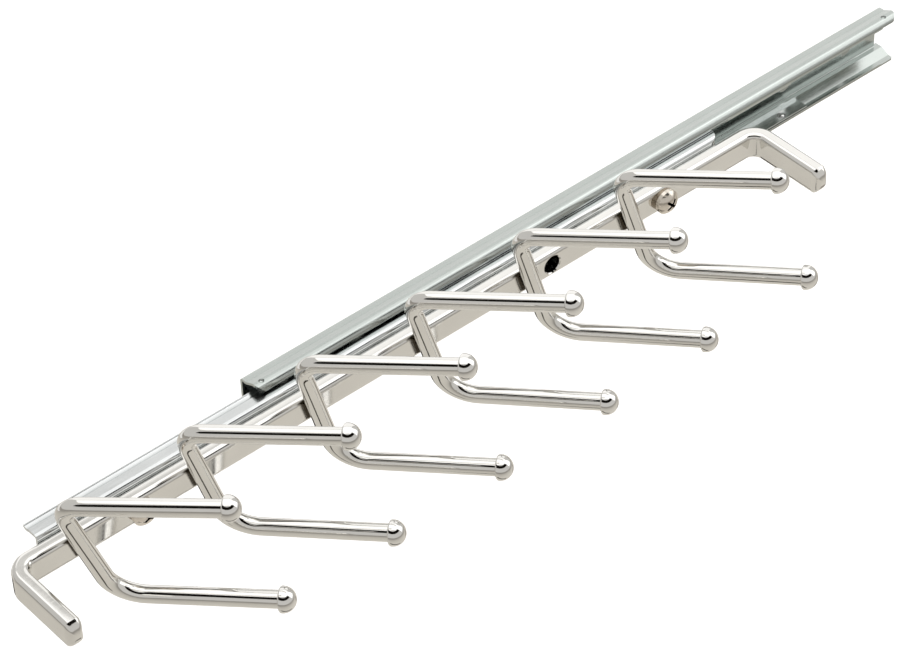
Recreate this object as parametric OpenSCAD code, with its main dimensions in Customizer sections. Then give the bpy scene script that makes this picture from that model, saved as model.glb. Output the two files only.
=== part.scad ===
// Sliding tie rack: a bent steel bar with six two-armed hooks, carried by a ball-bearing slide.
// The rail is screwed to the side of a wardrobe, and the rack pulls out towards +X.
// Origin: middle of the wall rail's back face. +X pull-out, +Y away from the wall, +Z up.

/* [Wall rail] */
// Length of the wall rail
rail_len = 304.8; // [280:0.1:360]
// Overall height of the wall rail, over both ball races
rail_h = 21.9; // [21.7:0.1:23]
// Height of the flat back that lies on the wall
rail_back_h = 18.2; // [17:0.1:19]
// Depth of the wall rail, from the wall to the lips
rail_depth = 10.4; // [10:0.1:12]
// Thickness of the wall rail's sheet
rail_t = 1.0; // [0.8:0.05:1.15]
// Height of each lip's edge above the middle of the rail
lip_edge_z = 8.15; // [8.05:0.05:8.3]
// Radius of the four screw holes in the wall rail
wall_hole_r = 2.2; // [1.5:0.1:3]
// Outer radius of the pressed sink around each screw hole
wall_sink_r = 4.2; // [3.2:0.1:5]
// Distance from each end of the wall rail to its first screw hole
wall_hole_inset = 18.3; // [14:0.1:24]
// Distance between the two screw holes of each end
wall_hole_pitch = 32; // [20:0.5:40]

/* [Ball rows] */
// Diameter of the balls
ball_d = 3; // [2.6:0.1:3]
// Number of balls in each row
balls_per_row = 10; // [4:1:12]
// Distance between two balls of a row
ball_pitch = 18; // [8:0.5:18]
// Room between a ball and each race
race_gap = 0.1; // [0.05:0.01:0.15]
// Thickness of the cage strips
cage_t = 0.4; // [0.3:0.05:0.45]
// Distance from the end of a cage to its first ball
cage_end = 11; // [6:0.5:14]
// Height of each cage's stiffening edge
cage_edge_h = 1.6; // [0.8:0.1:2.5]
// Distance between the far ends of the upper cage and the wall rail, as shown
upper_cage_inset = 56; // [50:0.5:62]
// Distance between the far ends of the lower cage and the wall rail, as shown
lower_cage_inset = 47; // [46.8:0.1:60]

/* [Sliding rail] */
// Length of the sliding rail
slide_len = 302.2; // [280:0.1:330]
// Height of the sliding rail, over its flanges
slide_h = 14.4; // [13.6:0.1:14.6]
// Thickness of the sliding rail's sheet
slide_t = 1.1; // [0.8:0.05:1.2]
// Distance from the wall to the sliding rail's front face
slide_front = 14; // [13:0.1:16]
// Outside bend radius of the sliding rail
slide_bend_r = 1.7; // [1.3:0.1:2.4]
// Rounding of the sliding rail's far corners
slide_corner_r = 4; // [2:0.5:5]
// How far the rack is pulled out, as shown
pull_out = 93.4; // [80:0.1:100]

/* [Tie bar] */
// Height of the flat bar
bar_h = 10.9; // [9:0.1:12]
// Thickness of the flat bar
bar_t = 6; // [5:0.1:7]
// Rounding of the bar's long edges
bar_edge_r = 2; // [1:0.1:2.4]
// Inside radius of the bent ends
bar_bend_r = 3.5; // [2.5:0.1:6]
// How far each bent end stands out in front of the bar
handle_reach = 32.2; // [26:0.1:45]
// Radius of the rounded handle tips, seen from the side
handle_tip_r = 6.9; // [6:0.1:12]
// How far the bar stands out beyond the near end of the sliding rail
bar_near_overhang = 15.2; // [12:0.1:17]
// How far the bar stands out beyond the far end of the sliding rail
bar_far_overhang = 18; // [15:0.1:20]
// Radius of the hole for a screwdriver
access_r = 3.5; // [2.5:0.1:4]
// Bevel of the screwdriver hole
access_bevel = 0.4; // [0.2:0.1:1]
// Distance from the last hook but one to the screwdriver hole
access_offset = 11.6; // [9:0.1:20]

/* [Hooks] */
// Number of hooks
HOOKS = 6; // [6:1:6]
// Distance from the near end of the bar to the first hook
hook_inset = 27.4; // [25:0.1:32]
// Distance from the far end of the bar to the last hook
last_hook_inset = 68; // [66:0.1:72]
// Diameter of the hook wire
wire_d = 6.2; // [5:0.1:6.6]
// Distance between the two arms of a hook, along its leg
hook_h = 54.3; // [48:0.1:62]
// Length of each arm, from its corner to the neck of its tip
arm_len = 56.3; // [45:0.1:60]
// Bend radius of the upper corner, at the middle of the wire
upper_bend_r = 8; // [4:0.1:10]
// Bend radius of the lower corner, at the middle of the wire
lower_bend_r = 12; // [4:0.1:14]
// How deep the wire is flattened where it is welded to the bar
weld_flat = 0.15; // [0.1:0.05:0.6]
// Height of the hook's middle above the middle of the bar
hook_lift = -0.3; // [-3:0.1:3]
// Angle by which each arm opens away from the other
arm_splay = 1.1; // [0:0.1:3]

/* [Hook tips] */
// Diameter of the tips
tip_d = 9.1; // [8.6:0.1:9.2]
// Length of the tips
tip_len = 5.4; // [5.4:0.1:8]
// Depth to which the wire sits in a tip
tip_socket = 3; // [2:0.1:3.2]
// Rounding of a tip's edge at its neck
tip_neck_r = 0.6; // [0.3:0.1:0.7]

/* [Bar screws] */
// Diameter of the screws' shanks
screw_d = 5; // [4:0.1:5.4]
// Diameter of the screw heads
screw_head_d = 9.5; // [9:0.1:10]
// Height of the screw heads
screw_head_h = 3.7; // [3.3:0.1:4]
// Height of the straight rim of a screw head
screw_rim_h = 1.4; // [0.8:0.1:1.8]
// Length of a screw under its head
screw_len = 10.2; // [9.4:0.1:11]
// Diameter of the washers under the screw heads
washer_d = 9.2; // [8.6:0.1:10]
// Thickness of the washers
washer_t = 1.2; // [0.8:0.1:1.4]
// Distance from the near end of the bar to the first screw
front_screw_inset = 51.4; // [48:0.1:53]
// Distance from the far end of the bar to the other screw
rear_screw_inset = 51.4; // [48:0.1:53]

/* [Hidden] */
$fn = 64;

// How far every cut runs past what it cuts
cut = 2;
// Room between a screw or a wire and its hole
fit = 0.05;
// The hooks are set and welded by hand, so each stands a little off the others:
// lean of each leg towards the near end, swing of its arms towards the far end, and their rise
hook_leans = [18.5, 16.25, 14.5, 16, 16, 17.5];
hook_swings = [38.5, 37, 36.5, 34.75, 33.25, 33.5];
hook_rises = [-3.75, -1.25, -0.25, 0.25, 1.75, 0.25];
// The wire is a little thicker in its bends, and its straight stretches start inside them
bend_swell = 0.03;
bend_lap = 0.3;

// Wall rail, from the middle of its back
rail_end = rail_len / 2;
rail_top = rail_h / 2;
back_top = rail_back_h / 2;
rail_bend_r = 1.4;
// The far end of the back is cut shorter than the flanges
back_set_in = 2;
// Rounding of the flanges' corners, at the far end and at the near end
far_corner_r = 3.4;
near_corner_r = 2.8;
// Length and depth of the trimmed stretch of each lip at its far end
lip_trim_len = 8;
lip_trim = 0.5;
// Straight wall of the screw holes behind their sink
hole_wall = 0.45;
// Crimped stops in the races: distances from the far and near ends, and their size
far_upper_stop = 5.3;
far_lower_stop = 7.4;
near_stop = 3.2;
stop_r = 1.2;
stop_depth = 0.8;
stop_dent_r = 1.0;

// Ball rows
ball_r = ball_d / 2;
race_r = ball_r + race_gap;
ball_y = rail_depth - rail_t - race_r;
ball_z = rail_top - rail_t - race_r;
// The sloping part of the flange rises to the race behind the balls
slope_end_share = 0.6;
slope_run_share = 2;
slope_end_y = ball_y - slope_end_share * ball_r;
slope_start_y = slope_end_y - (rail_top - back_top) * slope_run_share;

// Sliding rail
slide_top = slide_h / 2;
slide_near = rail_end + pull_out;
slide_far = slide_near - slide_len;
slide_back = ball_y - race_r;

// Cage strips lie midway between the lips and the sliding rail's flanges
cage_z = (lip_edge_z + slide_top) / 2;
cage_len = (balls_per_row - 1) * ball_pitch + 2 * cage_end;
cage_front_share = 0.25;
cage_front = rail_depth - cage_front_share * rail_t;
cage_back = slope_start_y + rail_t;
cage_hole_r = race_r;

// Bar
bar_near = slide_near + bar_near_overhang;
bar_far = slide_far - bar_far_overhang;
bar_front = slide_front + bar_t;
bar_outer_r = bar_bend_r + bar_t;
handle_y = bar_front + handle_reach;
bend_y = bar_front + bar_bend_r;

// Hooks, spread evenly between the first and the last
first_hook_x = bar_near - hook_inset;
last_hook_x = bar_far + last_hook_inset;
hook_pitch = (first_hook_x - last_hook_x) / (HOOKS - 1);
wire_r = wire_d / 2;
leg_y = bar_front + wire_r - weld_flat;
tip_r = tip_d / 2;
access_x = last_hook_x + hook_pitch - access_offset;

// Screws
screw_xs = [bar_near - front_screw_inset, bar_far + rear_screw_inset];
dome_rise = screw_head_h - screw_rim_h;
dome_r = (pow(screw_head_d / 2, 2) + pow(dome_rise, 2)) / (2 * dome_rise);
collar_r = screw_d / 2 + slide_t;
collar_h = 1.5;
recess_w = 1;
dome_facets = 160;
recess_len = 5;
recess_depth = 2.1;

// Sheet bent through a right angle: the quarter ring from +X to +Y around the origin
module quarter_ring(outer_r, t) {
    intersection() {
        difference() {
            circle(r = outer_r);
            circle(r = outer_r - t);
        }
        square(outer_r);
    }
}

// Lays a section out along X: the drawing's x is Y, and its y is Z
module along_x(from_x, to_x) {
    translate([from_x, 0, 0])
        rotate([90, 0, 90])
            linear_extrude(to_x - from_x)
                children();
}

// Both halves of a section that is the same above and below its middle
module both_halves() {
    children();
    mirror([0, 1]) children();
}

// Upper half of the wall rail's section: its edge is bent round the balls as their race
module rail_half_section() {
    square([rail_t, back_top - rail_bend_r]);
    translate([rail_bend_r, back_top - rail_bend_r])
        mirror([1, 0])
            quarter_ring(rail_bend_r, rail_t);
    translate([rail_bend_r, back_top - rail_t])
        square([slope_start_y - rail_bend_r, rail_t]);
    polygon([
        [slope_start_y, back_top - rail_t],
        [slope_start_y, back_top],
        [slope_end_y, rail_top],
        [slope_end_y, rail_top - rail_t]
    ]);
    translate([slope_end_y, rail_top - rail_t])
        square([ball_y - slope_end_y, rail_t]);
    translate([ball_y, ball_z])
        quarter_ring(race_r + rail_t, rail_t);
    translate([rail_depth - rail_t, lip_edge_z])
        square([rail_t, ball_z - lip_edge_z]);
}

// Screw hole with its pressed sink, seen from the front
module wall_hole() {
    rotate([-90, 0, 0]) {
        translate([0, 0, -cut])
            cylinder(r = wall_hole_r, h = rail_t + 2 * cut);
        translate([0, 0, hole_wall])
            cylinder(r1 = wall_hole_r, r2 = wall_sink_r, h = rail_t - hole_wall);
        translate([0, 0, rail_t])
            cylinder(r = wall_sink_r, h = cut);
    }
}

// Bump of a crimped stop, hanging from the roof of the race
module stop_bump(x) {
    intersection() {
        translate([x, ball_y, rail_top - rail_t - stop_depth + stop_r])
            sphere(r = stop_r);
        translate([x - stop_r, ball_y - stop_r, rail_top - rail_t - stop_depth])
            cube([2 * stop_r, 2 * stop_r, stop_depth + rail_t / 2]);
    }
}

// Dent of a crimped stop, in the roof's outside
module stop_dent(x) {
    translate([x, ball_y, rail_top + stop_dent_r - stop_depth])
        sphere(r = stop_dent_r);
}

// Rounds the far front corner of a flange, cutting a band of the given height
module round_corner(x, y, r, z, h) {
    translate([x, y - r, z])
        difference() {
            translate([-cut, 0, 0])
                cube([r + cut, r + cut, h]);
            translate([r, 0, -cut])
                cylinder(r = r, h = h + 2 * cut);
        }
}

// Wall rail: a C of sheet steel, with a ball race bent along each edge
module wall_rail() {
    stops_above = [-rail_end + far_upper_stop, rail_end - near_stop];
    stops_below = [-rail_end + far_lower_stop, rail_end - near_stop];
    color("silver")
    difference() {
        union() {
            along_x(-rail_end, rail_end)
                both_halves() rail_half_section();
            for (x = stops_above) stop_bump(x);
            mirror([0, 0, 1])
                for (x = stops_below) stop_bump(x);
        }
        for (x = stops_above) stop_dent(x);
        mirror([0, 0, 1])
            for (x = stops_below) stop_dent(x);
        for (side = [-1, 1], row = [0, 1])
            translate([side * (rail_end - wall_hole_inset - row * wall_hole_pitch), 0, 0])
                wall_hole();
        // The back stops short of the flanges at the far end
        translate([-rail_end - cut, -cut, -back_top + rail_t])
            cube([back_set_in + cut, rail_bend_r + 2 * cut, rail_back_h - 2 * rail_t]);
        // Corners of the flanges, and the trimmed lips of the far end
        round_corner(-rail_end, rail_depth, far_corner_r, -rail_top - cut, rail_h + 2 * cut);
        mirror([1, 0, 0])
            round_corner(-rail_end, rail_depth, near_corner_r, -rail_top - cut, rail_h + 2 * cut);
        translate([-rail_end - cut, rail_depth - rail_t - cut / 2, -lip_edge_z - lip_trim])
            cube([lip_trim_len + cut, rail_t + cut, 2 * (lip_edge_z + lip_trim)]);
    }
}

// Upper half of the sliding rail's section, with the groove under the balls
module slide_half_section() {
    translate([slide_front - slide_t, 0])
        square([slide_t, slide_top - slide_bend_r]);
    translate([slide_front - slide_bend_r, slide_top - slide_bend_r])
        quarter_ring(slide_bend_r, slide_t);
    difference() {
        union() {
            translate([slide_back, slide_top - slide_t])
                square([slide_front - slide_bend_r - slide_back, slide_t]);
            intersection() {
                translate([ball_y, ball_z])
                    circle(r = race_r + slide_t);
                translate([slide_back, 0])
                    square([slide_front - slide_bend_r - slide_back, slide_top]);
            }
        }
        translate([ball_y, ball_z])
            circle(r = race_r);
    }
}

// Sliding rail: a C that opens to the wall, with two formed collars for the bar's screws
module sliding_rail() {
    color("gainsboro")
    difference() {
        union() {
            along_x(slide_far, slide_near)
                both_halves() slide_half_section();
            for (x = screw_xs)
                translate([x, slide_front - slide_t / 2, 0])
                    rotate([90, 0, 0])
                        cylinder(r = collar_r, h = collar_h + slide_t / 2);
        }
        for (x = screw_xs)
            translate([x, slide_front + cut, 0])
                rotate([90, 0, 0])
                    cylinder(r = screw_d / 2 + fit, h = collar_h + slide_t + 2 * cut);
        translate([access_x, slide_front + cut, 0])
            rotate([90, 0, 0])
                cylinder(r = access_r, h = slide_t + 2 * cut);
        round_corner(slide_far, slide_front, slide_corner_r, -slide_top - cut, slide_h + 2 * cut);
    }
}

// Cage strip with a hole for each ball and a stiffening edge, above the middle of the rail
module cage(far_x) {
    color("lightslategray")
    difference() {
        union() {
            translate([far_x, cage_back, cage_z - cage_t / 2])
                cube([cage_len, cage_front - cage_back, cage_t]);
            translate([far_x, cage_back, cage_z - cage_edge_h])
                cube([cage_len, cage_t, cage_edge_h]);
        }
        for (i = [0 : balls_per_row - 1])
            translate([far_x + cage_end + i * ball_pitch, ball_y, cage_z - cut])
                cylinder(r = cage_hole_r, h = 2 * cut);
    }
}

// One row of balls, above the middle of the rail
module ball_row(far_x) {
    color("white")
    for (i = [0 : balls_per_row - 1])
        translate([far_x + cage_end + i * ball_pitch, ball_y, ball_z])
            sphere(r = ball_r);
}

module upper_ball_cage() { cage(-rail_end + upper_cage_inset); }
module lower_ball_cage() { mirror([0, 0, 1]) cage(-rail_end + lower_cage_inset); }
module upper_balls() { ball_row(-rail_end + upper_cage_inset); }
module lower_balls() { mirror([0, 0, 1]) ball_row(-rail_end + lower_cage_inset); }

// Section of the flat bar with rounded edges: x across its thickness from 0, y over its height
module bar_section() {
    translate([bar_edge_r, -bar_h / 2])
        square([bar_t - 2 * bar_edge_r, bar_h]);
    translate([0, bar_edge_r - bar_h / 2])
        square([bar_t, bar_h - 2 * bar_edge_r]);
    for (x = [bar_edge_r, bar_t - bar_edge_r], y = [bar_edge_r - bar_h / 2, bar_h / 2 - bar_edge_r])
        translate([x, y])
            circle(r = bar_edge_r);
}

// Disc with rounded edges that shapes a handle's tip, lying across the bar's thickness
module tip_disc() {
    translate([bar_near - bar_t, handle_y - handle_tip_r, 0])
        rotate([0, 90, 0])
            rotate_extrude()
                union() {
                    square([handle_tip_r - bar_edge_r, bar_t]);
                    translate([0, bar_edge_r])
                        square([handle_tip_r, bar_t - 2 * bar_edge_r]);
                    for (z = [bar_edge_r, bar_t - bar_edge_r])
                        translate([handle_tip_r - bar_edge_r, z])
                            circle(r = bar_edge_r);
                }
}

// Near bend and handle: the bar turns from +X to +Y and ends in a rounded tip
module bar_end() {
    translate([bar_near - bar_outer_r, bend_y, 0])
        rotate([0, 0, -90])
            rotate_extrude(angle = 90)
                translate([bar_bend_r, 0])
                    bar_section();
    intersection() {
        translate([bar_near - bar_t, bend_y, 0])
            rotate([90, 0, 0])
                mirror([0, 0, 1])
                    linear_extrude(handle_y - bend_y)
                        bar_section();
        union() {
            translate([bar_near - bar_t - cut, bend_y, -bar_h])
                cube([bar_t + 2 * cut, handle_y - bend_y - handle_tip_r, 2 * bar_h]);
            tip_disc();
        }
    }
}

// Tie bar: flat steel bar, bent forward at both ends into handles
module tie_bar() {
    middle = (bar_near + bar_far) / 2;
    color("lightgray")
    difference() {
        union() {
            along_x(bar_far + bar_outer_r, bar_near - bar_outer_r)
                translate([slide_front, 0])
                    bar_section();
            bar_end();
            translate([middle, 0, 0])
                mirror([1, 0, 0])
                    translate([-middle, 0, 0])
                        bar_end();
        }
        for (x = screw_xs)
            translate([x, bar_front + cut, 0])
                rotate([90, 0, 0])
                    cylinder(r = screw_d / 2 + 2 * fit, h = bar_t + 2 * cut);
        translate([access_x, bar_front + cut, 0])
            rotate([90, 0, 0])
                cylinder(r = access_r, h = bar_t + 2 * cut);
        translate([access_x, bar_front - access_bevel, 0])
            rotate([-90, 0, 0])
                cylinder(r1 = access_r, r2 = access_r + 2 * access_bevel, h = 2 * access_bevel);
    }
}

// Puts a hook drawn in its own plane (leg along Z, arms along X) in its place on the bar
module place_hook(i) {
    translate([first_hook_x - i * hook_pitch, leg_y, hook_lift])
        rotate([0, hook_leans[i], 0])
            rotate([0, 0, 90 + hook_swings[i]])
                children();
}

// Turns an arm from level to its own rise: side is 1 for the upper arm and -1 for the lower
module place_arm(i, side) {
    translate([0, 0, side * hook_h / 2])
        rotate([0, -hook_rises[i] - side * arm_splay, 0])
            children();
}

// One corner and arm. The turn is how far the wire bends between leg and arm
module corner_and_arm(i, side) {
    bend_r = side > 0 ? upper_bend_r : lower_bend_r;
    turn = 90 - side * hook_rises[i] - arm_splay;
    set_back = bend_r * tan(turn / 2);
    place_arm(i, side)
        translate([set_back, 0, 0])
            rotate([0, 90, 0])
                translate([0, 0, -bend_lap])
                    cylinder(r = wire_r, h = arm_len + tip_socket - set_back + bend_lap);
    translate([bend_r, 0, side * (hook_h / 2 - set_back)])
        rotate([side * 90, 0, 0])
            rotate([0, 0, 180 - turn])
                rotate_extrude(angle = turn)
                    translate([bend_r, 0])
                        circle(r = wire_r + bend_swell);
}

// Straight leg between the two corners
module leg(i) {
    top = hook_h / 2 - upper_bend_r * tan((90 - hook_rises[i] - arm_splay) / 2);
    bottom = -hook_h / 2 + lower_bend_r * tan((90 + hook_rises[i] - arm_splay) / 2);
    translate([0, 0, bottom - bend_lap])
        cylinder(r = wire_r, h = top - bottom + 2 * bend_lap);
}

// Hook: one wire bent twice, flattened where it is welded to the bar
module hook(i) {
    color("lightgray")
    difference() {
        place_hook(i) {
            leg(i);
            corner_and_arm(i, 1);
            corner_and_arm(i, -1);
        }
        translate([first_hook_x - i * hook_pitch, bar_front - wire_d, 0])
            translate([-hook_h / 2, 0, -bar_h / 2 - weld_flat])
                cube([hook_h, wire_d, bar_h + 2 * weld_flat]);
    }
}

// Tip: a round-nosed cap pressed over the end of the wire, drawn along Z from its neck
module tip_cap() {
    color("whitesmoke")
    rotate_extrude()
        difference() {
            union() {
                square([tip_r - tip_neck_r, tip_len - tip_r]);
                translate([0, tip_neck_r])
                    square([tip_r, tip_len - tip_r - tip_neck_r]);
                intersection() {
                    translate([tip_r - tip_neck_r, tip_neck_r])
                        circle(r = tip_neck_r);
                    square([tip_r, tip_len]);
                }
                intersection() {
                    translate([0, tip_len - tip_r])
                        circle(r = tip_r);
                    translate([0, tip_neck_r])
                        square([tip_r, tip_len]);
                }
            }
            translate([-cut, -cut])
                square([wire_r + fit + cut, tip_socket + cut]);
        }
}

module hook_tip(i, side) {
    place_hook(i)
        place_arm(i, side)
            translate([arm_len, 0, 0])
                rotate([0, 90, 0])
                    tip_cap();
}

// Pan-head screw with a cross recess, drawn along Z from the underside of its head
module bar_screw(x) {
    color("tan")
    translate([x, bar_front + washer_t, 0])
        rotate([-90, 0, 0])
            difference() {
                union() {
                    rotate_extrude()
                        intersection() {
                            square([screw_head_d / 2, screw_head_h]);
                            union() {
                                square([screw_head_d / 2, screw_rim_h]);
                                translate([0, screw_head_h - dome_r])
                                    circle(r = dome_r, $fn = dome_facets);
                            }
                        }
                    mirror([0, 0, 1])
                        cylinder(r = screw_d / 2, h = screw_len);
                }
                for (turn = [45, 135])
                    rotate([0, 0, turn])
                        translate([-recess_len / 2, -recess_w / 2, screw_head_h - recess_depth])
                            cube([recess_len, recess_w, recess_depth + cut]);
            }
}

// Washer between a screw head and the bar
module screw_washer(x) {
    color("silver")
    translate([x, bar_front, 0])
        rotate([-90, 0, 0])
            difference() {
                cylinder(r = washer_d / 2, h = washer_t);
                translate([0, 0, -cut])
                    cylinder(r = screw_d / 2 + 2 * fit, h = washer_t + 2 * cut);
            }
}

module front_bar_screw() { bar_screw(screw_xs[0]); }
module rear_bar_screw() { bar_screw(screw_xs[1]); }
module front_screw_washer() { screw_washer(screw_xs[0]); }
module rear_screw_washer() { screw_washer(screw_xs[1]); }

wall_rail();
sliding_rail();
upper_ball_cage();
lower_ball_cage();
upper_balls();
lower_balls();
tie_bar();
front_bar_screw();
rear_bar_screw();
front_screw_washer();
rear_screw_washer();
for (i = [1 : HOOKS]) {
    hook(i - 1);
    hook_tip(i - 1, 1);
    hook_tip(i - 1, -1);
}
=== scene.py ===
"""Looks of the sliding tie rack: smooth chrome hooks, tips and bar, zinc rails and nickel screws.

Everything is in metres, in the frame of the CAD part: the origin is the middle of the wall rail's
back, +X is the way the rack pulls out, +Y points away from the wall and +Z is up.
"""

import math  # noqa: E402

import bmesh  # noqa: E402
import bpy  # noqa: E402
from mathutils import Matrix, Vector  # noqa: E402

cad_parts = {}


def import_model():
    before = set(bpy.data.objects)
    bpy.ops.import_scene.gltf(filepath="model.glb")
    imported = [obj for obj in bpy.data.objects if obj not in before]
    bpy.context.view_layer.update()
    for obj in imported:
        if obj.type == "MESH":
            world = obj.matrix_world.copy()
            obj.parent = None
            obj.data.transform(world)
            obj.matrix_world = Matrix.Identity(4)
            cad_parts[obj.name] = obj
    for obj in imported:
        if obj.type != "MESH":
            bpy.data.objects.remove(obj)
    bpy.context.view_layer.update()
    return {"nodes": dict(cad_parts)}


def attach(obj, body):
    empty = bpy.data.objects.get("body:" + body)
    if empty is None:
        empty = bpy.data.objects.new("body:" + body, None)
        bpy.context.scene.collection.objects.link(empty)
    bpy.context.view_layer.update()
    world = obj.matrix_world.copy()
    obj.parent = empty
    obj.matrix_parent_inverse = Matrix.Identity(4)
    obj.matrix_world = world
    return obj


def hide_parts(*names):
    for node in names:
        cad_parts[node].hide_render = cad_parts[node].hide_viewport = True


MM = 0.001

# Bar, as the CAD part has it: ends along X, back and front along Y, height, roundings and handles
BAR_NEAR = 261.0 * MM
BAR_FAR = -74.4 * MM
BAR_BACK = 14.0 * MM
BAR_FRONT = 20.0 * MM
BAR_T = BAR_FRONT - BAR_BACK
BAR_H = 10.9 * MM
BAR_EDGE_R = 2.0 * MM
BAR_BEND_R = 3.5 * MM
BAR_OUTER_R = BAR_BEND_R + BAR_T
HANDLE_Y = 52.2 * MM
HANDLE_TIP_R = 6.9 * MM

# Screwdriver hole in the bar, and how far the tool that cuts it starts behind the bar
HOLE_X = 30.0 * MM
HOLE_R = 3.5 * MM
HOLE_BEVEL = 0.4 * MM
HOLE_OVERRUN = 2.0 * MM

# Hooks, counted from the near end
HOOKS = 6
HOOK_INSET = 27.4 * MM
HOOK_PITCH = 48.0 * MM
HOOK_LIFT = -0.3 * MM
HOOK_H = 54.3 * MM
ARM_LEN = 56.3 * MM
UPPER_BEND_R = 8.0 * MM
LOWER_BEND_R = 12.0 * MM
WIRE_R = 3.1 * MM
WELD_FLAT = 0.15 * MM
LEG_Y = BAR_FRONT + WIRE_R - WELD_FLAT
# In degrees: how far each arm opens from the middle, then each leg's lean and its arms' swing and rise
ARM_SPLAY = 1.1
HOOK_LEANS = [18.5, 16.25, 14.5, 16.0, 16.0, 17.5]
HOOK_SWINGS = [38.5, 37.0, 36.5, 34.75, 33.25, 33.5]
HOOK_RISES = [-3.75, -1.25, -0.25, 0.25, 1.75, 0.25]
# The inner side of each lower bend is pressed flat: how deep, and how fast the flat begins and ends
PRESS_DEPTH = 0.6 * MM
PRESS_RAMP = 3.0

# Tips: caps with a socket, and the share of its depth that the wire fills. Their radius is a hair
# under the CAD's, because flat facets make the CAD's tips a hair smaller too
TIP_R = 4.545 * MM
TIP_LEN = 5.4 * MM
TIP_SOCKET = 3.0 * MM
TIP_NECK_R = 0.6 * MM
TIP_FIT = 0.05 * MM
WIRE_SEAT_SHARE = 0.9

# Fineness of the meshes: sides of the round forms, and steps along them
WIRE_SIDES = 56
TIP_SIDES = 72
HOLE_SIDES = 64
ARM_STEPS = 24
HOOK_BEND_STEPS = 22
TIP_NECK_STEPS = 8
TIP_NOSE_STEPS = 28
BAR_EDGE_STEPS = 8
HANDLE_STEPS = 10
BAR_BEND_STEPS = 30
DOME_STEPS = 14

# Edges sharper than these stay hard, in degrees. Vertices closer than the weld reach become one
HARD_EDGE = 50
BAR_HARD_EDGE = 40
WELD_REACH = 1e-7

# Colours of the chrome on the bar and the wire, between which its smudges vary
CHROME = ((0.80, 0.79, 0.765), (0.85, 0.84, 0.815))

# Metals: smudges per metre, detail of the noise, and the range in which most of its values lie
SMUDGES = 60.0
NOISE_DETAIL = 4.0
NOISE_LOW, NOISE_HIGH = 0.3, 0.7
# Colour of the painted shade where the hooks' legs meet the bar and in the screws' recesses
PAINTED_SHADE = (0.045, 0.035, 0.022, 1)
# Painted shade where a leg meets the bar: how far in front of the bar it is full and where it ends,
# and how far it reaches beyond the bar's top and bottom while it fades
CREVICE_DEEP = 1.4 * MM
CREVICE_END = 3.2 * MM
CREVICE_FADE = 1.5 * MM
# Painted shade in a screw's recess, as shares of the screw's box: where along the screw it is full and
# where it ends, how far it reaches from the screw's middle, and over what width it fades there
RECESS_DEEP, RECESS_END = 0.90, 0.955
RECESS_REACH = 0.28
RECESS_FADE = 0.02

# Slot and material of each CAD node that stays as it is
CAD_LOOKS = {
    "wall_rail": ("zinc_rail", "zinc_rail"),
    "sliding_rail": ("zinc_slide", "zinc_slide"),
    "upper_ball_cage": ("cage_steel", "cage_steel"),
    "lower_ball_cage": ("cage_steel", "cage_steel"),
    "upper_balls": ("ball_steel", "ball_steel"),
    "lower_balls": ("ball_steel", "ball_steel"),
    "front_bar_screw": ("nickel_screw", "nickel_screw"),
    "rear_bar_screw": ("nickel_screw", "nickel_screw"),
    "front_screw_washer": ("nickel_screw", "nickel_washer"),
    "rear_screw_washer": ("nickel_screw", "nickel_washer"),
}

# Camera, as it was fitted to the photograph
CAMERA_PLACE = (0.62599, 0.69840, 0.78246)
CAMERA_RIGHT = (-0.7596, 0.6497, -0.0306)
CAMERA_UP = (-0.4517, -0.4931, 0.7435)
CAMERA_LENS = 136.49
CAMERA_SENSOR = 36.0
CAMERA_CLIP = (0.05, 100.0)

# Surroundings: what the metal sees around it, and what the camera sees
WORLD_GREY = (0.62, 0.61, 0.59, 1)
WORLD_WHITE = (1, 1, 1, 1)

# Floor: its height and size, its colours near and far with the distances between which they change,
# and the glowing paper that the camera sees instead
FLOOR_Z = -0.42
FLOOR_SIZE = 30.0
# Painted shade: the floor's colour darkens from near to far
FLOOR_NEAR = (0.80, 0.77, 0.71)
FLOOR_FAR = (0.46, 0.44, 0.41)
FLOOR_FADE = (0.45, 2.2)
PAPER = (0.9, 0.9, 0.9, 1)
PAPER_GLOW = 0.4

# Dark cloth: its warm tint, as shares of its grey
CLOTH_TINT_SHARES = (1.0, 0.85, 0.7)

# Dark card round the front: distance, lowest and highest elevation with first and last azimuth, grey,
# and rows and columns of faces
DARK_RADIUS = 4.0
DARK_FRONT = (33.0, 55.0, -18.0, 135.0)
DARK_FRONT_GREY = 0.012
DARK_ROWS, DARK_COLUMNS = 6, 40

# Cards on the floor: height above it, then the dark strips as name, x range, y range and grey
CARD_LIFT = 0.002
FLOOR_STRIPS = [
    ("strip_front", (0.00, 0.42), (0.155, 0.225), 0.05),
    ("strip_back", (-0.12, 0.26), (-0.46, -0.235), 0.04),
    ("strip_far", (-1.00, -0.30), (0.03, 0.15), 0.16),
]
# White card on the floor far behind: x range, y range and radiance
BACK_CARD = ((-5.0, 1.5), (-6.5, -1.15), 0.88)
CARD_WHITE = (1.0, 0.99, 0.97, 1)

# Name, azimuth, elevation, distance, width, height and brightness of each softbox
SOFTBOXES = [
    ("softbox_top", 231.0, 81.0, 5.0, 6.3, 6.4, 0.70),
    ("softbox_back", 232.0, 18.5, 4.6, 4.7, 4.6, 0.50),
    ("softbox_far_end", 154.0, 36.0, 3.0, 2.1, 2.9, 0.95),
]


# Objects and meshes


def add_object(name, data):
    """A new object in the scene."""
    thing = bpy.data.objects.new(name, data)
    bpy.context.scene.collection.objects.link(thing)
    return thing


def add_mesh(name, verts, faces):
    """A new mesh object in the scene."""
    mesh = bpy.data.meshes.new(name)
    mesh.from_pydata([tuple(v) for v in verts], [], faces)
    return add_object(name, mesh)


def rack_piece(name, verts, faces, node, material):
    """A smooth mesh piece that rides on the rack and stands for one of its CAD nodes."""
    piece = add_mesh(name, verts, faces)
    piece.data.validate()
    piece.data.shade_smooth()
    piece.data.materials.append(material)
    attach(piece, "rack")
    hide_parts(node)
    return piece


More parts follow.
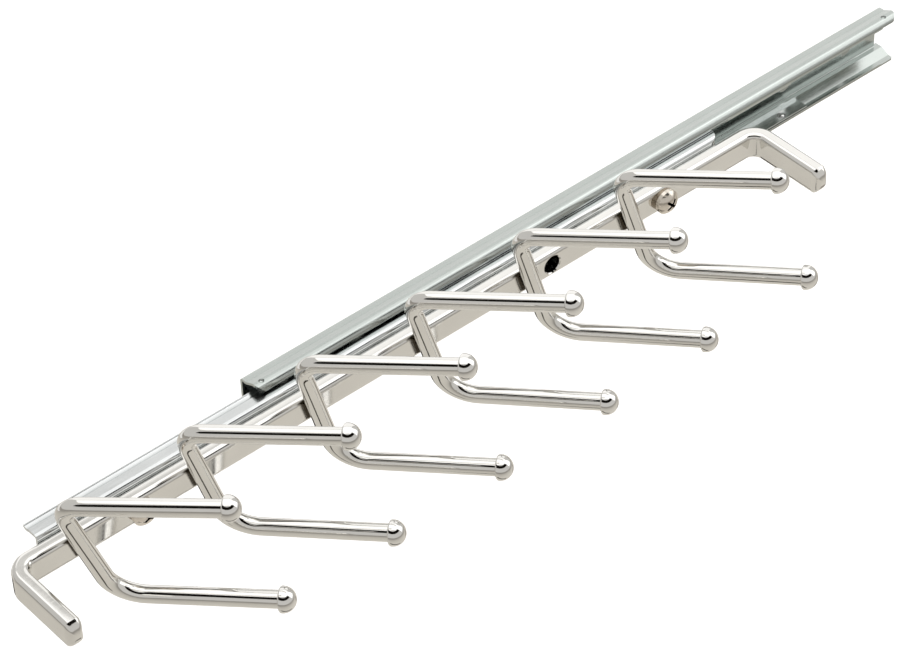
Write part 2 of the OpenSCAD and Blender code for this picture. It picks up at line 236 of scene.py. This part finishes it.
def circle(sides):
    """Angles of the corners of a round form."""
    return [2 * math.pi * k / sides for k in range(sides)]


def quarter(steps):
    """Angles from zero to a right angle, with both ends."""
    return [math.pi / 2 * k / steps for k in range(steps + 1)]


def ring_faces(rings, size, closed=True):
    """Quads between neighbouring rings of equal size."""
    faces = []
    for i in range(rings - 1):
        for j in range(size if closed else size - 1):
            a = i * size + j
            b = i * size + (j + 1) % size
            faces.append((a, b, b + size, a + size))
    return faces


def tube_faces(rings, size):
    """Faces of a tube of equal rings, with a cap at each end."""
    faces = ring_faces(rings, size)
    faces.append(tuple(range(size))[::-1])
    faces.append(tuple(range((rings - 1) * size, rings * size)))
    return faces


def harden_edges(piece, degrees):
    """Keeps an edge hard where its faces meet at more than the angle."""
    piece.data.set_sharp_from_angle(angle=math.radians(degrees))


def weld_doubles(piece):
    """Joins vertices that lie on each other, such as the poles of a turned piece."""
    bm = bmesh.new()
    bm.from_mesh(piece.data)
    bmesh.ops.remove_doubles(bm, verts=bm.verts, dist=WELD_REACH)
    bmesh.ops.recalc_face_normals(bm, faces=bm.faces)
    bm.to_mesh(piece.data)
    bm.free()
    piece.data.shade_smooth()


# Hooks and their tips


def hook_place(i):
    """Where hook i stands: its leg along Z and its arms along X in its own frame."""
    x = BAR_NEAR - HOOK_INSET - i * HOOK_PITCH
    place = Matrix.Translation((x, LEG_Y, HOOK_LIFT))
    lean = Matrix.Rotation(math.radians(HOOK_LEANS[i]), 4, "Y")
    swing = Matrix.Rotation(math.radians(90 + HOOK_SWINGS[i]), 4, "Z")
    return place @ lean @ swing


def arm_place(i, side):
    """Where an arm starts, in its hook's frame: side is 1 above and -1 below."""
    rise = HOOK_RISES[i] + side * ARM_SPLAY
    shift = Matrix.Translation((0, 0, side * HOOK_H / 2))
    return shift @ Matrix.Rotation(math.radians(-rise), 4, "Y")


def arm_line(i, side, set_back):
    """Middle line of an arm, from inside its tip to its bend."""
    arm = arm_place(i, side)
    along = (arm.to_3x3() @ Vector((1, 0, 0))).normalized()
    end = ARM_LEN + TIP_SOCKET * WIRE_SEAT_SHARE
    line = []
    for k in range(ARM_STEPS + 1):
        s = end + (set_back - end) * k / ARM_STEPS
        line.append((arm @ Vector((s, 0, 0)), -along, 0.0))
    return line


def bend_line(side, bend_r, turn, set_back):
    """Middle line of a bend, from its arm to the leg."""
    centre = Vector((bend_r, 0, side * (HOOK_H / 2 - set_back)))
    line = []
    for k in range(1, HOOK_BEND_STEPS + 1):
        left = turn * (1 - k / HOOK_BEND_STEPS)
        out = Vector((-math.cos(left), 0, side * math.sin(left)))
        ahead = Vector((-math.sin(left), 0, -side * math.cos(left)))
        ramp = min(1.0, PRESS_RAMP * math.sin(math.pi * k / HOOK_BEND_STEPS))
        press = PRESS_DEPTH * ramp if side < 0 else 0.0
        line.append((centre + out * bend_r, ahead, press))
    return line


def hook_line(i):
    """Middle line of the wire in the hook's own plane, from tip to tip.

    Each entry holds the point, the direction and how deep the wire is pressed on its inner side.
    """
    line = []
    for side, bend_r in ((1, UPPER_BEND_R), (-1, LOWER_BEND_R)):
        turn = math.radians(90 - side * HOOK_RISES[i] - ARM_SPLAY)
        set_back = bend_r * math.tan(turn / 2)
        half = arm_line(i, side, set_back) + bend_line(side, bend_r, turn, set_back)
        if side < 0:
            half = [(point, -ahead, press) for point, ahead, press in reversed(half)]
        line += half
    return line


def build_hook(i, material):
    """Hook: one round wire bent twice and pressed flat where it is welded to the bar."""
    place = hook_place(i)
    across = Vector((0, 1, 0))
    line = hook_line(i)
    verts = []
    for point, ahead, press in line:
        out = across.cross(ahead).normalized()
        for a in circle(WIRE_SIDES):
            inward = min(WIRE_R * math.cos(a), WIRE_R - press)
            verts.append(place @ (point + inward * out + WIRE_R * math.sin(a) * across))
    flat_z = BAR_H / 2 + WELD_FLAT
    for v in verts:
        if v.y < BAR_FRONT and abs(v.z) < flat_z:
            v.y = BAR_FRONT
    name = "hook_%d" % (i + 1)
    faces = tube_faces(len(line), WIRE_SIDES)
    piece = rack_piece("chrome_" + name, verts, faces, name, material)
    harden_edges(piece, HARD_EDGE)


def tip_profile():
    """Outline of a tip as (along, radius) pairs, from the bottom of its socket to its nose."""
    bore = WIRE_R + TIP_FIT
    outline = [(TIP_SOCKET, 0.0), (TIP_SOCKET, bore), (0.0, bore)]
    for a in quarter(TIP_NECK_STEPS):
        along = TIP_NECK_R * (1 - math.cos(a))
        outline.append((along, TIP_R - TIP_NECK_R * (1 - math.sin(a))))
    nose = TIP_LEN - TIP_R
    for a in quarter(TIP_NOSE_STEPS):
        outline.append((nose + TIP_R * math.sin(a), TIP_R * math.cos(a)))
    return outline


def build_tip(i, side, material):
    """Tip: a turned cap with a rounded neck, pressed over the end of the wire."""
    place = hook_place(i) @ arm_place(i, side) @ Matrix.Translation((ARM_LEN, 0, 0))
    outline = tip_profile()
    verts = []
    for along, radius in outline:
        for a in circle(TIP_SIDES):
            verts.append(place @ Vector((along, radius * math.cos(a), radius * math.sin(a))))
    name = "hook_%d_%s_tip" % (i + 1, "upper" if side > 0 else "lower")
    faces = ring_faces(len(outline), TIP_SIDES)
    piece = rack_piece("chrome_" + name, verts, faces, name, material)
    weld_doubles(piece)
    harden_edges(piece, HARD_EDGE)


# Bar


def bar_section():
    """Section of the flat bar as (across, up) pairs from its middle: across points outwards."""
    corners = []
    across = BAR_T / 2 - BAR_EDGE_R
    up = BAR_H / 2 - BAR_EDGE_R
    for cx, cz, start in ((across, up, 0), (-across, up, 90), (-across, -up, 180), (across, -up, 270)):
        for k in range(BAR_EDGE_STEPS + 1):
            a = math.radians(start + 90 * k / BAR_EDGE_STEPS)
            corners.append((cx + BAR_EDGE_R * math.cos(a), cz + BAR_EDGE_R * math.sin(a)))
    return corners


def bar_line():
    """Middle line of the bar from above, as (point, outward direction) pairs, far tip to near tip."""
    line = []
    mid_r = BAR_BEND_R + BAR_T / 2
    bend_y = BAR_FRONT + BAR_BEND_R
    start_y = HANDLE_Y - HANDLE_TIP_R
    for side, edge in ((-1, BAR_FAR), (1, BAR_NEAR)):
        centre = Vector((edge - side * BAR_OUTER_R, bend_y, 0))
        half = []
        for k in range(HANDLE_STEPS + 1):
            y = start_y + (bend_y - start_y) * k / HANDLE_STEPS
            half.append((Vector((edge - side * BAR_T / 2, y, 0)), Vector((side, 0, 0))))
        for a in quarter(BAR_BEND_STEPS)[1:]:
            out = Vector((side * math.cos(a), -math.sin(a), 0))
            half.append((centre + out * mid_r, out))
        line += half if side < 0 else half[::-1]
    return line


def handle_end(across, up):
    """How far along Y the domed handle tip reaches, at a place on the bar's section."""
    off = max(abs(across) - (BAR_T / 2 - BAR_EDGE_R), 0.0)
    radius = HANDLE_TIP_R - BAR_EDGE_R + math.sqrt(max(BAR_EDGE_R**2 - off**2, 0.0))
    return HANDLE_Y - HANDLE_TIP_R + math.sqrt(max(radius**2 - up**2, 0.0))


def handle_dome(edge_x, side, section):
    """Rings over a handle's domed tip, from its rim to its middle."""
    rings = []
    for a in quarter(DOME_STEPS)[:-1]:
        share = math.cos(a)
        ring = []
        for across, up in section:
            y = handle_end(across * share, up * share)
            ring.append(Vector((edge_x + side * across * share, y, up * share)))
        rings.append(ring)
    return rings


def hole_cutter():
    """Tool that cuts the screwdriver hole: a rod that widens into the bevel at the bar's front."""
    outline = [
        (BAR_BACK - HOLE_OVERRUN, HOLE_R),
        (BAR_FRONT - HOLE_BEVEL, HOLE_R),
        (BAR_FRONT + HOLE_BEVEL, HOLE_R + 2 * HOLE_BEVEL),
    ]
    verts = []
    for y, radius in outline:
        for a in circle(HOLE_SIDES):
            verts.append((HOLE_X + radius * math.cos(a), y, radius * math.sin(a)))
    cutter = add_mesh("hole_cutter", verts, tube_faces(len(outline), HOLE_SIDES))
    weld_doubles(cutter)
    return cutter


def cut_hole(piece):
    """Cuts the screwdriver hole through the bar and keeps the result as the bar's mesh."""
    cutter = hole_cutter()
    cut = piece.modifiers.new("hole", "BOOLEAN")
    cut.operation = "DIFFERENCE"
    cut.solver = "EXACT"
    cut.object = cutter
    bpy.context.view_layer.update()
    seen = piece.evaluated_get(bpy.context.evaluated_depsgraph_get())
    mesh = bpy.data.meshes.new_from_object(seen)
    piece.modifiers.clear()
    piece.data = mesh
    bpy.data.objects.remove(cutter)


def build_bar(material):
    """Tie bar: flat bar with rounded edges, bent forward at both ends into domed handles."""
    section = bar_section()
    line = bar_line()
    rings = []
    for point, out in line:
        rings.append([point + out * across + Vector((0, 0, up)) for across, up in section])
    far_dome = handle_dome(line[0][0].x, -1, section)
    near_dome = handle_dome(line[-1][0].x, 1, section)
    rings = far_dome[::-1] + rings + near_dome
    verts = [v for ring in rings for v in ring]
    faces = tube_faces(len(rings), len(section))
    piece = rack_piece("chrome_bar", verts, faces, "tie_bar", material)
    weld_doubles(piece)
    cut_hole(piece)
    harden_edges(piece, BAR_HARD_EDGE)
    even = piece.modifiers.new("even normals", "WEIGHTED_NORMAL")
    even.keep_sharp = True


def build_rack(materials):
    """Every smooth piece of the moving rack."""
    build_bar(materials["chrome_bar"])
    for i in range(HOOKS):
        build_hook(i, materials["chrome_wire"])
        build_tip(i, 1, materials["chrome_tip"])
        build_tip(i, -1, materials["chrome_tip"])


# Material nodes


def noise(tree, place, scale, stretch=(1, 1, 1)):
    """Noise of the given scale per metre, stretched along the axes."""
    mapping = tree.nodes.new("ShaderNodeMapping")
    mapping.inputs["Scale"].default_value = stretch
    tree.links.new(place, mapping.inputs["Vector"])
    texture = tree.nodes.new("ShaderNodeTexNoise")
    texture.inputs["Scale"].default_value = scale
    texture.inputs["Detail"].default_value = NOISE_DETAIL
    tree.links.new(mapping.outputs["Vector"], texture.inputs["Vector"])
    return texture.outputs["Fac"]


def spread(tree, value, low, high, from_low=NOISE_LOW, from_high=NOISE_HIGH):
    """Maps a value from one range, by default the noise's, to another."""
    node = tree.nodes.new("ShaderNodeMapRange")
    node.inputs["From Min"].default_value = from_low
    node.inputs["From Max"].default_value = from_high
    node.inputs["To Min"].default_value = low
    node.inputs["To Max"].default_value = high
    tree.links.new(value, node.inputs["Value"])
    return node.outputs["Result"]


def blend_colour(tree, value, first, second):
    """Colour that runs from first to second with the value."""
    node = tree.nodes.new("ShaderNodeMix")
    node.data_type = "RGBA"
    node.inputs["A"].default_value = (*first, 1)
    node.inputs["B"].default_value = (*second, 1)
    tree.links.new(value, node.inputs["Factor"])
    return node.outputs["Result"]


def calculate(tree, operation, *values):
    """Result of a math operation on one or two values."""
    node = tree.nodes.new("ShaderNodeMath")
    node.operation = operation
    for k, value in enumerate(values):
        tree.links.new(value, node.inputs[k])
    return node.outputs["Value"]


def vector_node(tree, operation, vector, constant=(0, 0, 0)):
    """Vector math node on a vector and a constant, which some operations leave unused."""
    node = tree.nodes.new("ShaderNodeVectorMath")
    node.operation = operation
    node.inputs[1].default_value = constant
    tree.links.new(vector, node.inputs[0])
    return node


def axes_of(tree, vector):
    """The X, Y and Z of a vector."""
    node = tree.nodes.new("ShaderNodeSeparateXYZ")
    tree.links.new(vector, node.inputs[0])
    return node.outputs


def bump(tree, shader, value, strength, distance):
    """Fine relief from a texture's value."""
    node = tree.nodes.new("ShaderNodeBump")
    node.inputs["Strength"].default_value = strength
    node.inputs["Distance"].default_value = distance
    tree.links.new(value, node.inputs["Height"])
    tree.links.new(node.outputs["Normal"], shader.inputs["Normal"])


def paint_shade(tree, mask):
    """Lays painted shade over the shader's own colour where the mask is 1."""
    base = tree.nodes["Principled BSDF"].inputs["Base Color"]
    node = tree.nodes.new("ShaderNodeMix")
    node.data_type = "RGBA"
    tree.links.new(mask, node.inputs["Factor"])
    tree.links.new(base.links[0].from_socket, node.inputs["A"])
    node.inputs["B"].default_value = PAINTED_SHADE
    tree.links.new(node.outputs["Result"], base)


# Materials of the rack


def metal(name, colours, rough, marks, relief, stretch=(1, 1, 1)):
    """Worked metal: colour and roughness vary over smudges, with fine marks along the stretch.

    The marks are given per metre and the relief as its strength and depth.
    """
    material = bpy.data.materials.new(name)
    material.use_nodes = True
    tree = material.node_tree
    shader = tree.nodes["Principled BSDF"]
    shader.inputs["Metallic"].default_value = 1.0
    place = tree.nodes.new("ShaderNodeTexCoord").outputs["Object"]
    smudge = spread(tree, noise(tree, place, SMUDGES), 0.0, 1.0)
    tree.links.new(blend_colour(tree, smudge, *colours), shader.inputs["Base Color"])
    grain = noise(tree, place, marks, stretch)
    tree.links.new(spread(tree, grain, *rough), shader.inputs["Roughness"])
    bump(tree, shader, grain, *relief)
    return material


def zinc_rail():
    """Wall rail: satin zinc with a green-grey cast, rolled along X."""
    return metal(
        "zinc_rail",
        colours=((0.490, 0.525, 0.508), (0.515, 0.550, 0.533)),
        rough=(0.17, 0.24),
        marks=900.0,
        relief=(0.05, 0.03 * MM),
        stretch=(0.08, 1, 1),
    )


def zinc_slide():
    """Sliding rail: brighter zinc, rolled along X."""
    return metal(
        "zinc_slide",
        colours=((0.66, 0.68, 0.685), (0.74, 0.76, 0.765)),
        rough=(0.12, 0.20),
        marks=900.0,
        relief=(0.08, 0.04 * MM),
        stretch=(0.12, 1, 1),
    )


def cage_steel():
    """Ball cages: plain strip steel."""
    return metal(
        "cage_steel",
        colours=((0.58, 0.61, 0.60), (0.66, 0.69, 0.68)),
        rough=(0.16, 0.26),
        marks=1200.0,
        relief=(0.2, 0.05 * MM),
        stretch=(0.2, 1, 1),
    )


def ball_steel():
    """Balls: polished steel."""
    return metal(
        "ball_steel",
        colours=((0.66, 0.66, 0.66), (0.74, 0.74, 0.74)),
        rough=(0.08, 0.14),
        marks=2000.0,
        relief=(0.05, 0.02 * MM),
    )


def chrome_bar():
    """Bar: polished chrome with faint marks along X."""
    return metal(
        "chrome_bar",
        colours=CHROME,
        rough=(0.08, 0.12),
        marks=1400.0,
        relief=(0.02, 0.02 * MM),
        stretch=(0.06, 1, 1),
    )


def chrome_wire():
    """Hooks: polished chrome, with painted shade in the crevice where each leg lies on the bar."""
    material = metal(
        "chrome_wire",
        colours=CHROME,
        rough=(0.04, 0.09),
        marks=1600.0,
        relief=(0.03, 0.02 * MM),
    )
    tree = material.node_tree
    axes = axes_of(tree, tree.nodes.new("ShaderNodeTexCoord").outputs["Object"])
    depth = spread(tree, axes["Y"], 1.0, 0.0, BAR_FRONT + CREVICE_DEEP, BAR_FRONT + CREVICE_END)
    height = calculate(tree, "ABSOLUTE", axes["Z"])
    middle = spread(tree, height, 1.0, 0.0, BAR_H / 2, BAR_H / 2 + CREVICE_FADE)
    # Painted shade on the leg's back, in the crevice against the bar
    paint_shade(tree, calculate(tree, "MULTIPLY", depth, middle))
    return material


def chrome_tip():
    """Tips: polished chrome."""
    return metal(
        "chrome_tip",
        colours=((0.82, 0.81, 0.79), (0.86, 0.85, 0.83)),
        rough=(0.04, 0.08),
        marks=1600.0,
        relief=(0.02, 0.02 * MM),
    )


def nickel_screw():
    """Screws: warm nickel, with painted shade in the cross recess, found in each screw's own box."""
    material = metal(
        "nickel_screw",
        colours=((0.76, 0.70, 0.62), (0.84, 0.78, 0.71)),
        rough=(0.12, 0.22),
        marks=2200.0,
        relief=(0.08, 0.03 * MM),
    )
    tree = material.node_tree
    place = tree.nodes.new("ShaderNodeTexCoord").outputs["Generated"]
    centred = vector_node(tree, "SUBTRACT", place, (0.5, 0.0, 0.5)).outputs["Vector"]
    depth = spread(tree, axes_of(tree, centred)["Y"], 1.0, 0.0, RECESS_DEEP, RECESS_END)
    flat = vector_node(tree, "MULTIPLY", centred, (1.0, 0.0, 1.0)).outputs["Vector"]
    away = vector_node(tree, "LENGTH", flat).outputs["Value"]
    middle = spread(tree, away, 1.0, 0.0, RECESS_REACH, RECESS_REACH + RECESS_FADE)
    # Painted shade in the cross recess
    paint_shade(tree, calculate(tree, "MULTIPLY", depth, middle))
    return material


def nickel_washer():
    """Washers: the same nickel, much darker."""
    return metal(
        "nickel_washer",
        colours=((0.30, 0.25, 0.19), (0.38, 0.32, 0.25)),
        rough=(0.22, 0.32),
        marks=2200.0,
        relief=(0.08, 0.03 * MM),
    )


def make_materials():
    """All materials of the rack by name."""
    return {
        "zinc_rail": zinc_rail(),
        "zinc_slide": zinc_slide(),
        "cage_steel": cage_steel(),
        "ball_steel": ball_steel(),
        "chrome_bar": chrome_bar(),
        "chrome_wire": chrome_wire(),
        "chrome_tip": chrome_tip(),
        "nickel_screw": nickel_screw(),
        "nickel_washer": nickel_washer(),
    }


def dress_cad_nodes(nodes, materials):
    """Puts procedural materials into every slot of the CAD nodes that stay."""
    for node, (slot, look) in CAD_LOOKS.items():
        piece = nodes[node]
        for k in range(len(piece.material_slots)):
            piece.material_slots[k].material = materials[look]


# Camera, floor and lights


def camera():
    """Camera at the photograph's viewpoint."""
    data = bpy.data.cameras.new("camera")
    data.lens = CAMERA_LENS
    data.sensor_width = CAMERA_SENSOR
    data.sensor_fit = "HORIZONTAL"
    data.clip_start, data.clip_end = CAMERA_CLIP
    eye = add_object("camera", data)
    right = Vector(CAMERA_RIGHT).normalized()
    up = Vector(CAMERA_UP)
    up = (up - right * up.dot(right)).normalized()
    turn = Matrix((right, up, right.cross(up))).transposed()
    eye.matrix_world = Matrix.Translation(CAMERA_PLACE) @ turn.to_4x4()
    bpy.context.scene.camera = eye


def seen_by_camera(tree, plain, shown, output):
    """Mixes two shaders: the second one is what the camera sees directly."""
    path = tree.nodes.new("ShaderNodeLightPath")
    mix = tree.nodes.new("ShaderNodeMixShader")
    tree.links.new(path.outputs["Is Camera Ray"], mix.inputs["Fac"])
    tree.links.new(plain, mix.inputs[1])
    tree.links.new(shown, mix.inputs[2])
    tree.links.new(mix.outputs["Shader"], output.inputs["Surface"])


def background(tree, colour):
    """Even background of a colour."""
    node = tree.nodes.new("ShaderNodeBackground")
    node.inputs["Color"].default_value = colour
    node.inputs["Strength"].default_value = 1.0
    return node.outputs["Background"]


def world():
    """Pale surroundings, and plain white where the camera sees them."""
    made = bpy.data.worlds.new("studio")
    bpy.context.scene.world = made
    made.use_nodes = True
    tree = made.node_tree
    tree.nodes.clear()
    output = tree.nodes.new("ShaderNodeOutputWorld")
    seen_by_camera(tree, background(tree, WORLD_GREY), background(tree, WORLD_WHITE), output)


def bare_material(name):
    """A new material with nothing but its output."""
    material = bpy.data.materials.new(name)
    material.use_nodes = True
    tree = material.node_tree
    tree.nodes.clear()
    return material, tree, tree.nodes.new("ShaderNodeOutputMaterial")


def floor_material():
    """Pale floor with painted shade that darkens it outwards, and paper with a glow where the camera
    sees it.
    """
    material, tree, output = bare_material("floor")
    plain = tree.nodes.new("ShaderNodeBsdfDiffuse")
    place = tree.nodes.new("ShaderNodeTexCoord").outputs["Object"]
    away = vector_node(tree, "LENGTH", place).outputs["Value"]
    fade = spread(tree, away, 0.0, 1.0, *FLOOR_FADE)
    tree.links.new(blend_colour(tree, fade, FLOOR_NEAR, FLOOR_FAR), plain.inputs["Color"])
    paper = tree.nodes.new("ShaderNodeBsdfDiffuse")
    paper.inputs["Color"].default_value = PAPER
    glow = tree.nodes.new("ShaderNodeEmission")
    glow.inputs["Strength"].default_value = PAPER_GLOW
    shown = tree.nodes.new("ShaderNodeAddShader")
    tree.links.new(paper.outputs["BSDF"], shown.inputs[0])
    tree.links.new(glow.outputs["Emission"], shown.inputs[1])
    seen_by_camera(tree, plain.outputs["BSDF"], shown.outputs["Shader"], output)
    return material


def flat_mesh(name, x_range, y_range, z, material):
    """A level rectangle that belongs to the stage."""
    verts = [(x, y, z) for y in y_range for x in x_range]
    piece = add_mesh(name, verts, [(0, 1, 3, 2)])
    piece.data.materials.append(material)
    return piece


def floor():
    """Floor under the object."""
    reach = (-FLOOR_SIZE / 2, FLOOR_SIZE / 2)
    flat_mesh("floor", reach, reach, FLOOR_Z, floor_material())


def floor_card(name, x_range, y_range, material):
    """A card on the floor that only the metal's reflections show."""
    card = flat_mesh(name, x_range, y_range, FLOOR_Z + CARD_LIFT, material)
    card.visible_camera = False
    card.visible_diffuse = False
    card.visible_shadow = False


def dark_material(name, grey):
    """Matt dark cloth."""
    material = bpy.data.materials.new(name)
    material.use_nodes = True
    shader = material.node_tree.nodes["Principled BSDF"]
    colour = [grey * share for share in CLOTH_TINT_SHARES]
    shader.inputs["Base Color"].default_value = (*colour, 1)
    shader.inputs["Roughness"].default_value = 1.0
    shader.inputs["Specular IOR Level"].default_value = 0.0
    return material


def white_material(name, radiance):
    """White card that looks as bright as the radiance."""
    material, tree, output = bare_material(name)
    glow = tree.nodes.new("ShaderNodeEmission")
    glow.inputs["Color"].default_value = CARD_WHITE
    glow.inputs["Strength"].default_value = radiance
    tree.links.new(glow.outputs["Emission"], output.inputs["Surface"])
    return material


def direction(azimuth, elevation):
    """Unit vector from the object towards a place in the studio, from angles in degrees."""
    around, up = math.radians(azimuth), math.radians(elevation)
    flat = Vector((math.cos(around), math.sin(around), 0.0)) * math.cos(up)
    return flat + Vector((0, 0, math.sin(up)))


def dark_card(name, low, high, first, last, material):
    """A dark part of the studio, curved around the object, which chrome shows as a black stripe."""
    verts = []
    for i in range(DARK_ROWS + 1):
        elevation = low + (high - low) * i / DARK_ROWS
        for j in range(DARK_COLUMNS + 1):
            azimuth = first + (last - first) * j / DARK_COLUMNS
            verts.append(direction(azimuth, elevation) * DARK_RADIUS)
    card = add_mesh(name, verts, ring_faces(DARK_ROWS + 1, DARK_COLUMNS + 1, closed=False))
    card.data.materials.append(material)
    card.visible_camera = False


def cards():
    """The dark and white parts of the studio, which the camera doesn't see."""
    dark_card("dark_front", *DARK_FRONT, dark_material("dark_cloth", DARK_FRONT_GREY))
    for name, x_range, y_range, grey in FLOOR_STRIPS:
        floor_card(name, x_range, y_range, dark_material(name, grey))
    x_range, y_range, radiance = BACK_CARD
    floor_card("card_back", x_range, y_range, white_material("card_back", radiance))


def softbox(name, place, width, height, brightness):
    """Large soft lamp aimed at the origin. Its power grows with its area, so size doesn't dim it."""
    data = bpy.data.lights.new(name, "AREA")
    data.shape = "RECTANGLE"
    data.size = width
    data.size_y = height
    data.energy = brightness * math.pi * width * height
    lamp = add_object(name, data)
    lamp.location = place
    lamp.rotation_mode = "QUATERNION"
    lamp.rotation_quaternion = (-place).to_track_quat("-Z", "Y")
    lamp.visible_camera = False


def lights():
    """Three broad softboxes: overhead, behind the object, and beyond its far end."""
    for name, azimuth, elevation, distance, width, height, brightness in SOFTBOXES:
        softbox(name, direction(azimuth, elevation) * distance, width, height, brightness)


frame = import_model()
materials = make_materials()
dress_cad_nodes(frame["nodes"], materials)
build_rack(materials)
camera()
world()
floor()
cards()
lights()
bpy.context.scene.view_settings.view_transform = "Standard"
